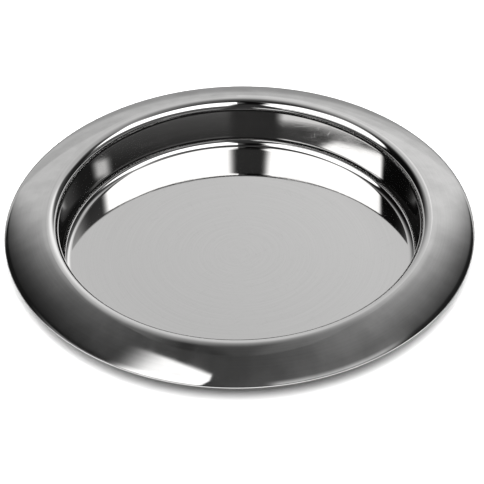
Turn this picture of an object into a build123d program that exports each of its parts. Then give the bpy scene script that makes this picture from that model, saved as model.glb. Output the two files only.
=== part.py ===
from build123d import *
import os
from math import cos, radians, sin

# A small round plate pressed from one disc of stainless sheet: a flat floor, a steep wall
# and a broad sloping rim whose trimmed edge hangs clear of the table.
# Millimetres. The underside of the floor lies on Z = 0 and the axis of the plate is Z.

# Driving dimensions. Radii and slopes are those of the show face, the polished upper skin.
sheet = 0.7              # thickness of the sheet
outer_radius = 55.0      # to the outermost point of the rounded edge
overall_height = 12.7    # table to the crest of the rim
well_fillet = 2.2        # concave radius where the floor turns up into the wall
wall_slope = 87.5        # degrees from the floor: 2.5 degrees of draft
# The rim from the wall outwards: (radius of the arc, slope where that arc ends).
# The bend passes over the crest of the rim, so it ends already falling.
bend = (2.5, -8.0)
shoulder = (6.0, -19.5)
flange = (60.0, -27.5)
lip = (4.5, -42.0)


def run(radius, start, end):
    """Horizontal length of a convex arc that turns from slope start down to slope end."""
    return radius * (sin(radians(start)) - sin(radians(end)))


def rise(radius, start, end):
    """Height that the same arc gains."""
    return radius * (cos(radians(end)) - cos(radians(start)))


rim_arcs = [bend, shoulder, flange, lip]
arc_starts = [wall_slope] + [slope for _, slope in rim_arcs]
rim_run = sum(run(r, start, end) for (r, end), start in zip(rim_arcs, arc_starts))

# The wall is as long as the height leaves between the fillet and the crest.
fillet_rise = well_fillet * (1 - cos(radians(wall_slope)))
wall_rise = overall_height - sheet - fillet_rise - rise(bend[0], wall_slope, 0)
wall_length = wall_rise / sin(radians(wall_slope))

# The flat floor takes what is left of the radius, less what the rounded edge adds to it.
fillet_run = well_fillet * sin(radians(wall_slope))
wall_run = wall_length * cos(radians(wall_slope))
edge_run = sheet / 2 * (1 - sin(radians(-lip[1])))
floor_radius = outer_radius - edge_run - rim_run - wall_run - fillet_run


def skin(depth):
    """Draw one skin of the sheet, depth below the show face, from the axis to the lip."""
    floor = Line((0, sheet - depth), (floor_radius, sheet - depth))
    fillet = JernArc(floor @ 1, floor % 1, well_fillet + depth, wall_slope)
    wall = Line(fillet @ 1, fillet @ 1 + wall_length * (fillet % 1))
    arc = wall
    for (radius, end), start in zip(rim_arcs, arc_starts):
        arc = JernArc(arc @ 1, arc % 1, radius - depth, end - start)
    return floor, arc


with BuildPart() as plate:
    with BuildSketch(Plane.XZ):
        with BuildLine():
            show_floor, show_lip = skin(0)
            under_floor, under_lip = skin(sheet)
            Line(show_floor @ 0, under_floor @ 0)
            # The trimmed edge is polished to a full round.
            JernArc(show_lip @ 1, show_lip % 1, sheet / 2, -180)
        make_face()
    revolve(axis=Axis.Z)

plate.part.label = "plate"
os.makedirs("parts", exist_ok=True)
export_step(plate.part, "parts/plate.step")

print(f"floor radius {floor_radius:.2f}, wall rise {wall_rise:.2f}, volume {plate.part.volume:.0f}")
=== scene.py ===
from math import cos, pi, radians, sin, sqrt, tan

import bpy
from mathutils import Matrix, Vector


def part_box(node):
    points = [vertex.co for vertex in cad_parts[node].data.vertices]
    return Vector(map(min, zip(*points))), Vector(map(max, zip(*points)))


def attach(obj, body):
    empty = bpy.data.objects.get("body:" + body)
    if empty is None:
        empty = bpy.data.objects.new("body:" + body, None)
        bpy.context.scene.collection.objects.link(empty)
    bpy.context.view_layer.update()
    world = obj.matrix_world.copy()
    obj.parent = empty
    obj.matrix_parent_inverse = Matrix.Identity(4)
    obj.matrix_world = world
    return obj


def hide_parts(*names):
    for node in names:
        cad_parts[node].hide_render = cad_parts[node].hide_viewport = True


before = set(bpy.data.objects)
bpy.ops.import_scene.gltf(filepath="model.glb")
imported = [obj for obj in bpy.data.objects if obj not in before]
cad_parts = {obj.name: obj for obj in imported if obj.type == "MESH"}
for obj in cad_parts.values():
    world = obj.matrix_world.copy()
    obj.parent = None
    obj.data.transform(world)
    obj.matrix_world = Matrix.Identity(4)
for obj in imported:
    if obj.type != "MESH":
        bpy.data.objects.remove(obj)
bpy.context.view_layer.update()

MM = 0.001
BOX_LO, BOX_HI = (Vector(corner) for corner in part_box("plate"))

# Section of the show face, the same named values as the CAD part (mm and degrees).
SHEET = 0.7
OUTER_RADIUS = 55.0
OVERALL_HEIGHT = 12.7
WELL_FILLET = 2.2
WALL_SLOPE = 87.5
RIM_ARCS = [(2.5, -8.0), (6.0, -19.5), (60.0, -27.5), (4.5, -42.0)]

# Only in the looks: the drawn wall is a little crowned, steeper at its foot than at its top.
WALL_BOW = 1.3

# How finely the skin is drawn: steps round the plate, and along each stretch of its section.
SEGMENTS = 384
FLOOR_STEPS = 4
FILLET_STEPS = 16
WALL_STEPS = 24
RIM_STEPS = (30, 8, 24, 8)
EDGE_STEPS = 12
# The skin keeps this far inside the CAD box, in radius and in height (mm).
GAP_RADIUS = 0.004
GAP_HEIGHT = 0.002

# Finish of the steel. Scales are per millimetre; the depth of the polish lines is in metres.
STEEL_TINT = (0.745, 0.74, 0.735)
FINE_LINES = 5.0
BROAD_LINES = 0.9
LINE_DEPTH = 0.0000006
RAYS_ROUND = 9
RAYS_OUTWARD = 0.06
CLOUD_SCALE = 0.17
SMUDGE_SCALE = 0.11
HAIRLINE_SCALE = 0.22
HAIRLINE_STRETCH = 22
HAIRLINE_ANGLES = (24, -51)
RIM_BEGINS = (43.5, 46.5)       # the rim's own finish fades in over these radii
SCUFFS_END = (40, 36)           # scuffs are full inside the second radius, gone at the first
ROUGH = 0.024
ROUGH_BLOOM = 0.06
ROUGH_LINES = 0.014
ROUGH_SMUDGE = 0.03
ROUGH_SCUFF = 0.05
ROUGH_UNDER = 0.16
SHADE_CLOUD = 0.05
SHADE_RAYS = 0.03
SHADE_LINES = 0.02
SHADE_SCUFF = -0.03
SHADE_UNDER = -0.12

# Camera: a long lens looking down at the plate (degrees, mm).
CAMERA_ELEVATION = 40.22
CAMERA_DISTANCE = 812.9
CAMERA_ROLL = -1.054
CAMERA_YAW = -0.0358
CAMERA_PITCH = 0.1977
SENSOR = 36.0
LENS = 256.6

# Stage, in metres. Tones are display values, from 0 (black) to 1 (white), as the steel shows them.
DISPLAY_GAMMA = 2.2
STEEL = 0.74                         # share of the light that the steel reflects
SOFT_BOX = 1.18
FLOOR_HALF = 3.0
FLOOR_DROP = 0.00002
FLOOR_PAPER = (0.85, 0.85, 0.85, 1)
CARD_HEIGHT = 0.036
CARD_STEPS = 96
CARD_HOLE = 0.046                    # front of the hole: a circle over the well
HOLE_BACK = (0.038, 0.054, 0.072)    # back of the hole: an ellipse (centre, half width, half depth)
CARD_REACH = 0.26
CARD_CROSSED = 0.12                  # tone of the card in light that has crossed the well
CARD_FADES = 1.5                     # ray depth past which that tone is used
ROOM_DEEP = 0.16                     # tone of the room after still more bounces
ROOM_FADES = 3.5                     # ray depth past which that tone is used
LIGHT_SIZE = 0.5
LIGHT_POWER = 30.0
LIGHT_PLACE = (0, -0.7, 1.0)
LIGHT_TILT = 35


# ---------------------------------------------------------------- small helpers
class Nodes:
    """Builds a node tree with short calls; sockets and plain numbers may be mixed."""

    def __init__(self, tree):
        self.tree = tree
        tree.nodes.clear()

    def add(self, kind, **settings):
        node = self.tree.nodes.new(kind)
        for key, value in settings.items():
            setattr(node, key, value)
        return node

    def put(self, value, socket):
        if isinstance(value, bpy.types.NodeSocket):
            self.tree.links.new(value, socket)
        else:
            socket.default_value = value

    def math(self, operation, *values):
        node = self.add("ShaderNodeMath", operation=operation)
        for value, socket in zip(values, node.inputs):
            self.put(value, socket)
        return node.outputs[0]

    def plus(self, first, *others):
        for other in others:
            first = self.math("ADD", first, other)
        return first

    def times(self, first, *others):
        for other in others:
            first = self.math("MULTIPLY", first, other)
        return first

    def minus(self, a, b):
        return self.math("SUBTRACT", a, b)

    def step(self, value, low, high, start=0.0, end=1.0):
        """Smooth ramp from start to end while value goes from low to high."""
        node = self.add("ShaderNodeMapRange", interpolation_type="SMOOTHSTEP")
        for item, socket in zip((value, low, high, start, end), node.inputs):
            self.put(item, socket)
        return node.outputs[0]

    def mix(self, factor, a, b):
        node = self.add("ShaderNodeMix", data_type="FLOAT")
        self.put(factor, node.inputs[0])
        self.put(a, node.inputs[2])
        self.put(b, node.inputs[3])
        return node.outputs[0]

    def split(self, vector):
        node = self.add("ShaderNodeSeparateXYZ")
        self.put(vector, node.inputs[0])
        return node.outputs[0], node.outputs[1], node.outputs[2]

    def place(self):
        """Where the point lies on the object: x, y and z in metres."""
        return self.split(self.add("ShaderNodeTexCoord").outputs["Object"])

    def noise(self, coordinates, scale, detail):
        """Noise from 0 to 1 over three coordinate values."""
        merge = self.add("ShaderNodeCombineXYZ")
        for value, socket in zip(coordinates, merge.inputs):
            self.put(value, socket)
        texture = self.add("ShaderNodeTexNoise", noise_dimensions="3D")
        self.put(merge.outputs[0], texture.inputs["Vector"])
        texture.inputs["Scale"].default_value = scale
        texture.inputs["Detail"].default_value = detail
        return texture.outputs[0]


def distance(n, x, y):
    """How far a point is from the plate's axis."""
    return n.math("SQRT", n.plus(n.times(x, x), n.times(y, y)))


def degrees_of(n, angle):
    return n.times(angle, 180 / pi)


def new_material(name):
    material = bpy.data.materials.new(name)
    material.use_nodes = True
    return material, Nodes(material.node_tree)


def link_new(name, data):
    thing = bpy.data.objects.new(name, data)
    bpy.context.scene.collection.objects.link(thing)
    return thing


# ---------------------------------------------------------------- shape of the plate
def arc_points(start, radius, slope, turn, count):
    """Points of an arc that leaves start at the given slope and turns by turn degrees."""
    sign = 1 if turn > 0 else -1
    centre = (start[0] - sign * radius * sin(radians(slope)),
              start[1] + sign * radius * cos(radians(slope)))
    points = []
    for i in range(1, count + 1):
        s = radians(slope + turn * i / count)
        points.append((centre[0] + sign * radius * sin(s), centre[1] - sign * radius * cos(s)))
    return points


def rise(radius, start, end):
    return radius * (cos(radians(end)) - cos(radians(start)))


def run(radius, start, end):
    return radius * (sin(radians(start)) - sin(radians(end)))


def floor_and_wall():
    """Radius of the flat floor and height of the wall, worked out as in the CAD part."""
    starts = [WALL_SLOPE] + [slope for _, slope in RIM_ARCS]
    rim_run = sum(run(r, a, b) for (r, b), a in zip(RIM_ARCS, starts))
    fillet_rise = WELL_FILLET * (1 - cos(radians(WALL_SLOPE)))
    wall_rise = OVERALL_HEIGHT - SHEET - fillet_rise - rise(RIM_ARCS[0][0], WALL_SLOPE, 0)
    wall_length = wall_rise / sin(radians(WALL_SLOPE))
    fillet_run = WELL_FILLET * sin(radians(WALL_SLOPE))
    edge_run = SHEET / 2 * (1 - sin(radians(-RIM_ARCS[-1][1])))
    wall_run = wall_length * cos(radians(WALL_SLOPE))
    return OUTER_RADIUS - edge_run - rim_run - wall_run - fillet_run, wall_rise


def skin(depth):
    """One face of the sheet, depth below the show face, from the axis to the lip."""
    floor, wall_rise = floor_and_wall()
    points = [(0.0, SHEET - depth)]
    points += [(floor * i / FLOOR_STEPS, SHEET - depth) for i in range(1, FLOOR_STEPS + 1)]
    points += arc_points(points[-1], WELL_FILLET + depth, 0, WALL_SLOPE + WALL_BOW, FILLET_STEPS)
    for i in range(WALL_STEPS):
        slope = radians(WALL_SLOPE + WALL_BOW * (1 - (i + 0.5) * 2 / WALL_STEPS))
        x, z = points[-1]
        points.append((x + wall_rise / WALL_STEPS / tan(slope), z + wall_rise / WALL_STEPS))
    starts = [WALL_SLOPE - WALL_BOW] + [slope for _, slope in RIM_ARCS]
    for (radius, end), start, count in zip(RIM_ARCS, starts, RIM_STEPS):
        points += arc_points(points[-1], radius - depth, start, end - start, count)
    return points


def plate_section():
    """Closed section of the sheet in mm: show face outwards, rounded edge, underside inwards."""
    show, under = skin(0), skin(SHEET)
    edge = arc_points(show[-1], SHEET / 2, RIM_ARCS[-1][1], -180, EDGE_STEPS)[:-1]
    return show + edge + under[::-1]


def fit_to_box(section):
    """The section in metres, drawn in a hair if it would leave the CAD box."""
    widest = max(radius for radius, _ in section)
    tallest = max(height for _, height in section)
    box_radius = (BOX_HI.x - BOX_LO.x) / 2
    box_height = BOX_HI.z - BOX_LO.z
    fit_r = min(1.0, (box_radius / MM - GAP_RADIUS) / widest)
    fit_z = min(1.0, (box_height / MM - GAP_HEIGHT) / tallest)
    return [(radius * fit_r * MM, height * fit_z * MM) for radius, height in section]


def turned(section):
    """Vertices and faces of the section turned about the plate's axis."""
    vertices, rings, faces = [], [], []
    for radius, height in section:
        count = SEGMENTS if radius else 1
        rings.append([len(vertices) + k for k in range(count)])
        angles = [2 * pi * k / SEGMENTS for k in range(count)]
        vertices += [(radius * cos(angle), radius * sin(angle), height) for angle in angles]
    for inner, outer in zip(rings, rings[1:]):
        for k in range(SEGMENTS):
            m = (k + 1) % SEGMENTS
            corners = [ring[step % len(ring)] for ring, step in
                       ((inner, k), (outer, k), (outer, m), (inner, m))]
            faces.append(tuple(dict.fromkeys(corners)))
    return vertices, faces


def build_plate():
    vertices, faces = turned(fit_to_box(plate_section()))
    mesh = bpy.data.meshes.new("plate_skin")
    mesh.from_pydata(vertices, [], faces)
    mesh.validate()
    mesh.shade_smooth()
    plate = link_new("plate_skin", mesh)
    mesh.materials.append(polished_steel())
    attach(plate, "root")
    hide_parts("plate")


# ---------------------------------------------------------------- polished steel
def hairlines(n, x, y, angle):
    """Thin straight scuffs that all lie at one angle (degrees); 0 to 1."""
    c, s = cos(radians(angle)), sin(radians(angle))
    across = n.plus(n.times(x, c), n.times(y, s))
    along = n.minus(n.times(y, c), n.times(x, s))
    marks = n.noise((n.times(across, HAIRLINE_STRETCH), along, angle), HAIRLINE_SCALE, 1.0)
    return n.step(marks, 0.66, 0.74)


def steel_patterns(n):
    """The patterns that the finish is mixed from, by name."""
    x, y, z = (n.times(part, 1000) for part in n.place())
    reach = distance(n, x, y)
    turn = n.math("ARCTAN2", x, y)
    round_x, round_y = n.math("SINE", turn), n.math("COSINE", turn)
    path = n.plus(reach, z)
    found = {}
    # Polish lines lie round the plate: quick change along the section, slow change round it.
    found["fine"] = n.noise((n.times(path, FINE_LINES), round_x, round_y), 1.0, 3.0)
    coarse = (n.times(path, BROAD_LINES), n.times(round_x, 2), n.times(round_y, 2))
    found["broad"] = n.noise(coarse, 1.0, 1.0)
    # Faint rays on the rim run outwards, as a buffing wheel leaves them.
    outward = (n.times(round_x, RAYS_ROUND), n.times(round_y, RAYS_ROUND), n.times(reach, RAYS_OUTWARD))
    found["rays"] = n.noise(outward, 1.0, 3.0)
    found["rim"] = n.step(reach, *RIM_BEGINS)
    found["cloud"] = n.noise((x, y, z), CLOUD_SCALE, 3.0)
    # Wear: finger smudges, and hairlines where coins slide.
    found["smudge"] = n.step(n.noise((x, y, z), SMUDGE_SCALE, 2.0), 0.48, 0.7)
    scuffs = n.plus(*(hairlines(n, x, y, angle) for angle in HAIRLINE_ANGLES))
    found["scuffs"] = n.times(scuffs, n.step(reach, *SCUFFS_END))
    up = n.split(n.add("ShaderNodeNewGeometry").outputs["Normal"])[2]
    found["under"] = n.step(up, 0.0, -0.03)
    return found


def steel_roughness(n, found):
    bloom = n.times(found["rim"], n.step(found["rays"], 0.3, 0.7, 0.25, 1.0))
    return n.plus(ROUGH, n.times(bloom, ROUGH_BLOOM), n.times(found["fine"], ROUGH_LINES),
                  n.times(found["smudge"], ROUGH_SMUDGE), n.times(found["scuffs"], ROUGH_SCUFF),
                  n.times(found["under"], ROUGH_UNDER))


def steel_tint(n, found):
    cloud = n.plus(n.step(found["cloud"], 0.35, 0.65, -SHADE_CLOUD, SHADE_CLOUD),
                   n.step(found["rays"], 0.3, 0.7, -SHADE_RAYS, SHADE_RAYS))
    shade = n.plus(n.times(found["rim"], cloud),
                   n.step(found["fine"], 0.3, 0.7, -SHADE_LINES, SHADE_LINES),
                   n.times(found["scuffs"], SHADE_SCUFF))
    shade = n.plus(1.0, shade, n.times(found["under"], SHADE_UNDER))
    tint = n.add("ShaderNodeCombineColor")
    for share, socket in zip(STEEL_TINT, tint.inputs):
        n.put(n.times(shade, share), socket)
    return tint.outputs[0]


def steel_bump(n, found):
    bump = n.add("ShaderNodeBump")
    bump.inputs["Strength"].default_value = 1.0
    bump.inputs["Distance"].default_value = LINE_DEPTH
    n.put(n.plus(n.times(found["fine"], 0.35), found["broad"]), bump.inputs["Height"])
    return bump.outputs[0]


def polished_steel():
    """Bright steel: polish lines round the plate, a satin bloom on the rim, a duller underside."""
    material, n = new_material("polished_steel")
    found = steel_patterns(n)
    shader = n.add("ShaderNodeBsdfPrincipled")
    n.put(steel_tint(n, found), shader.inputs["Base Color"])
    n.put(steel_roughness(n, found), shader.inputs["Roughness"])
    n.put(steel_bump(n, found), shader.inputs["Normal"])
    shader.inputs["Metallic"].default_value = 1.0
    output = n.add("ShaderNodeOutputMaterial")
    n.put(shader.outputs[0], output.inputs[0])
    return material


# ---------------------------------------------------------------- tones of the studio
# Directions are a compass angle, turn, and a height, lift, in degrees. Each step() below reads:
# between these two angles or distances, from this tone to that one.
def light_from_tone(n, tone):
    return n.math("DIVIDE", n.math("POWER", tone, DISPLAY_GAMMA), STEEL)


def direction_angles(n, vector):
    """Compass angle (0 behind the plate, + to the right) and height, in degrees."""
    x, y, z = n.split(vector)
    return degrees_of(n, n.math("ARCTAN2", x, y)), degrees_of(n, n.math("ARCSINE", z))


def backdrop_tone(n, turn, lift):
    """Pale backdrop, brightest to the right of the middle, another tone at the table."""
    tone = n.plus(n.step(turn, -58, -5, 0.06, 0.725), n.step(turn, -5, 24, 0.0, 0.22))
    tone = n.mix(n.step(turn, 24, 42), tone, n.step(turn, 40, 64, 0.28, 0.14))
    hem = n.plus(n.step(turn, -24, 8, 0.63, 0.72), n.step(turn, 42, 66, 0, -0.45))
    return n.mix(n.step(lift, 16, 4), tone, hem)


def upper_tone(n, turn, lift):
    """The room over the backdrop: dimmer towards the top, and dimmer to the sides."""
    tone = n.step(lift, 44, 84, 0.68, 0.27)
    aside = n.step(n.math("ABSOLUTE", turn), 60, 110)
    tone = n.mix(aside, tone, n.step(lift, 66, 74, 0.27, 0.08))
    tone = n.plus(tone, n.times(n.step(turn, 8, 36, 0, 0.07), n.step(lift, 60, 75)))
    west = n.plus(n.step(lift, 46, 60, 0.3, 0.37), n.step(lift, 66, 76, 0, -0.17))
    tone = n.mix(n.step(turn, -14, -42), tone, west)
    return n.mix(n.times(n.step(turn, 40, 62), n.step(lift, 64, 50)), tone, 0.24)


def left_side(n, turn, lift, tone):
    """Dark arch with the left soft box over it; a dark gap parts the box from a paler strip."""
    arch = n.plus(n.step(turn, -92, -48, 24, 60), n.step(turn, -48, -30, 0, -6))
    edge = n.minus(lift, arch)
    dark = n.times(n.step(edge, 1.5, -3.5), n.step(turn, -30, -56))
    tone = n.mix(dark, tone, n.step(lift, 40, 56, 0.07, 0.14))
    top = n.minus(lift, n.step(turn, -112, -68, 74, 66))
    box = n.times(n.step(turn, -170, -160), n.step(top, 4.5, -4.5),
                  n.step(edge, -2.5, 3.5), n.step(turn, -48, -76))
    strip = n.plus(n.step(lift, 19, 29, 0.34, 0.92), n.step(lift, 3, 16, -0.08, 0.0))
    strip = n.mix(n.step(lift, 31.6, 32.3), strip, 0.25)
    # The sill of the box is higher, and so the gap wider, towards the camera.
    sill = n.minus(lift, n.step(turn, -152, -112, 36.0, 33.0))
    return n.mix(box, tone, n.mix(n.step(sill, -0.4, 0.4), strip, SOFT_BOX))


def right_side(n, turn, lift, tone):
    """Right soft box, with one small bright spot under its left corner."""
    flank = n.plus(78, n.step(lift, 54, 70, 0, -16))
    top = n.minus(lift, n.step(turn, 140, 80, 77, 64))
    box = n.times(n.step(n.minus(turn, flank), -5, 4), n.step(top, 5, -4))
    under = n.times(n.step(lift, 30, 36, 0.34, 0.14), n.step(lift, 8, 26, 0.5, 1.0))
    spot = n.times(n.step(turn, 95, 86), n.step(lift, 33.0, 33.8), n.step(lift, 35.6, 34.8))
    under = n.mix(spot, under, 0.8)
    return n.mix(box, tone, n.mix(n.step(lift, 36, 39), under, SOFT_BOX))


def dark_figure(n, turn, lift, tone):
    """Dark figure on the camera's side, narrower towards its top."""
    toward = n.math("WRAP", turn, 360, 0)
    from_right = n.minus(toward, n.step(lift, 46, 68, 176, 187))
    flank = n.plus(n.step(lift, 34, 47, 207, 199.5), n.step(lift, 54, 68, 0, 12))
    from_left = n.minus(toward, flank)
    figure = n.times(n.step(from_right, -4, 4), n.step(from_left, 3, -5))
    return n.mix(figure, tone, n.step(lift, 44, 62, 0.20, 0.07))


def far_tone(n, turn, lift):
    """The room: pale backdrop behind the plate, a soft box on each side, dark gaps."""
    tone = n.mix(n.step(lift, 38, 46), backdrop_tone(n, turn, lift), upper_tone(n, turn, lift))
    tone = left_side(n, turn, lift, tone)
    tone = right_side(n, turn, lift, tone)
    return dark_figure(n, turn, lift, tone)


def white_card(n, x, y):
    """White card on the left of the front: soft on its left side, sharp on the others."""
    inner = n.plus(n.times(x, 0.6), y)
    flank = n.minus(x, n.times(y, 0.377))
    soft = n.minus(y, n.times(x, 0.64))
    return n.times(n.step(inner, -58.3, -60.8), n.step(flank, 11.2, 10.2), n.step(soft, -14.2, -33))


def card_tone(n, x, y):
    """The large ring card close above the rim; x and y in millimetres."""
    turn = degrees_of(n, n.math("ARCTAN2", x, n.times(y, -1)))
    reach = distance(n, x, y)
    # Darkest in front, a little left of the middle, and paler towards the back.
    tone = n.plus(n.step(turn, -15, 125, 0.24, 0.775), n.step(turn, -18, -140, 0, 0.47))
    # Two dark flags, left and right.
    left = n.plus(x, n.times(y, 0.48))
    tone = n.mix(n.step(left, -45, -87), tone, 0.11)
    right = n.minus(x, n.times(y, 0.5))
    tone = n.mix(n.step(right, 48, 92), tone, 0.13)
    # Pale panel on the right of the front.
    panel = n.times(n.step(turn, 6, 13), n.step(turn, 66, 46), n.step(reach, 57, 74))
    tone = n.mix(panel, tone, n.step(reach, 74, 88, 0.68, 0.47))
    # Paler strip far out on the left of the front.
    strip = n.times(n.step(turn, -88, -66), n.step(turn, -10, -22), n.step(reach, 79, 89))
    tone = n.mix(strip, tone, 0.44)
    return n.mix(white_card(n, x, y), tone, n.step(reach, 84, 100, 1.02, 0.5))


def painted_table_shading(n, reach, y):
    """The table as the steel sees it, with painted light and shade: painted shadow makes it grey,
    darkest near the plate, and a painted pool of light makes it white just in front of the plate;
    metres.
    """
    # Painted light: the bright patch just in front of the plate. Painted shadow: the darker grey close
    # to the plate.
    paper = n.times(n.step(y, -0.01, -0.04), n.step(reach, 0.059, 0.064))
    return n.mix(paper, n.step(reach, 0.085, 0.2, 0.53, 0.67), 1.0)


# ---------------------------------------------------------------- studio
def glow(n, tone):
    """Emission that the steel shows at the given tone."""
    shader = n.add("ShaderNodeEmission")
    n.put(light_from_tone(n, tone), shader.inputs["Color"])
    return shader.outputs[0]


def floor_sheet():
    """White paper to the camera; to the steel's reflections a glow with painted shadow near the plate
    and painted light in front of it.
    """
    size = FLOOR_HALF
    corners = [(-size, -size, 0), (size, -size, 0), (size, size, 0), (-size, size, 0)]
    mesh = bpy.data.meshes.new("floor")
    mesh.from_pydata(corners, [], [(0, 1, 2, 3)])
    floor = link_new("floor", mesh)
    floor.location.z = -FLOOR_DROP
    material, n = new_material("floor_paper")
    paper = n.add("ShaderNodeBsdfDiffuse")
    paper.inputs[0].default_value = FLOOR_PAPER
    x, y, _ = n.place()
    # The reflections see a glow with painted light and shade instead of the lit paper.
    seen = glow(n, painted_table_shading(n, distance(n, x, y), y))
    pick = n.add("ShaderNodeMixShader")
    n.put(n.add("ShaderNodeLightPath").outputs["Is Glossy Ray"], pick.inputs[0])
    n.put(paper.outputs[0], pick.inputs[1])
    n.put(seen, pick.inputs[2])
    output = n.add("ShaderNodeOutputMaterial")
    n.put(pick.outputs[0], output.inputs[0])
    mesh.materials.append(material)


def hole_radius(angle):
    """Radius of the card's hole at an angle from +X: the larger of circle and ellipse."""
    centre, wide, deep = HOLE_BACK
    across, along = cos(angle) / wide, sin(angle) / deep
    a, b, c = across ** 2 + along ** 2, -2 * along * centre / deep, (centre / deep) ** 2 - 1
    reach = (-b + sqrt(b * b - 4 * a * c)) / (2 * a)
    return max(CARD_HOLE, reach)


def ring_card():
    """A ring of card over the rim that only the reflections see."""
    count = CARD_STEPS
    turns = [2 * pi * k / count for k in range(count)]
    inner = [(hole_radius(t) * cos(t), hole_radius(t) * sin(t), 0) for t in turns]
    outer = [(CARD_REACH * cos(t), CARD_REACH * sin(t), 0) for t in turns]
    faces = [(k, (k + 1) % count, count + (k + 1) % count, count + k) for k in range(count)]
    mesh = bpy.data.meshes.new("ring_card")
    mesh.from_pydata(inner + outer, [], faces)
    card = link_new("ring_card", mesh)
    card.location.z = CARD_HEIGHT
    card.visible_camera = False
    card.visible_diffuse = False
    card.visible_shadow = False
    card.visible_transmission = False
    material, n = new_material("ring_card")
    x, y, _ = n.place()
    tone = card_tone(n, n.times(x, 1000), n.times(y, 1000))
    # Light that has already bounced across the well finds the card dark.
    depth = n.add("ShaderNodeLightPath").outputs["Ray Depth"]
    crossed = n.math("GREATER_THAN", depth, CARD_FADES)
    output = n.add("ShaderNodeOutputMaterial")
    n.put(glow(n, n.mix(crossed, tone, CARD_CROSSED)), output.inputs[0])
    mesh.materials.append(material)


def front_light():
    """The one soft light, high in front of the plate; it shades the floor."""
    light = bpy.data.lights.new("front_light", "AREA")
    light.shape = "SQUARE"
    light.size = LIGHT_SIZE
    light.energy = LIGHT_POWER
    lamp = link_new("front_light", light)
    lamp.location = LIGHT_PLACE
    lamp.rotation_euler.x = radians(LIGHT_TILT)
    lamp.visible_glossy = False
    lamp.visible_camera = False


def surroundings():
    """The room in the steel's reflections, and plain white to the camera."""
    world = bpy.data.worlds.new("studio")
    bpy.context.scene.world = world
    world.use_nodes = True
    n = Nodes(world.node_tree)
    turn, lift = direction_angles(n, n.add("ShaderNodeTexCoord").outputs["Generated"])
    # After three bounces between the walls only an even dusk is left of the room.
    path = n.add("ShaderNodeLightPath")
    deep = n.math("GREATER_THAN", path.outputs["Ray Depth"], ROOM_FADES)
    light = light_from_tone(n, n.mix(deep, far_tone(n, turn, lift), ROOM_DEEP))
    light = n.mix(path.outputs["Is Camera Ray"], light, 1.0)
    background = n.add("ShaderNodeBackground")
    n.put(light, background.inputs["Color"])
    background.inputs["Strength"].default_value = 1.0
    output = n.add("ShaderNodeOutputWorld")
    n.put(background.outputs[0], output.inputs[0])


def camera():
    data = bpy.data.cameras.new("camera")
    data.sensor_width = SENSOR
    data.lens = LENS
    data.clip_start = 0.01
    data.dof.use_dof = False
    lens = link_new("camera", data)
    tilt = radians(CAMERA_ELEVATION)
    place = Vector((0, -cos(tilt), sin(tilt))) * CAMERA_DISTANCE * MM
    aim = Matrix.Rotation(pi / 2 - tilt, 4, "X")
    turn = Matrix.Rotation(radians(CAMERA_YAW), 4, "Y") @ Matrix.Rotation(radians(CAMERA_PITCH), 4, "X")
    roll = Matrix.Rotation(radians(CAMERA_ROLL), 4, "Z")
    lens.matrix_world = Matrix.Translation(place + Vector((0, 0, SHEET * MM))) @ aim @ roll @ turn
    bpy.context.scene.camera = lens


def looks():
    view = bpy.context.scene.view_settings
    view.view_transform = "Standard"
    view.look = "None"
    view.exposure = 0.0


build_plate()
floor_sheet()
ring_card()
front_light()
surroundings()
camera()
looks()
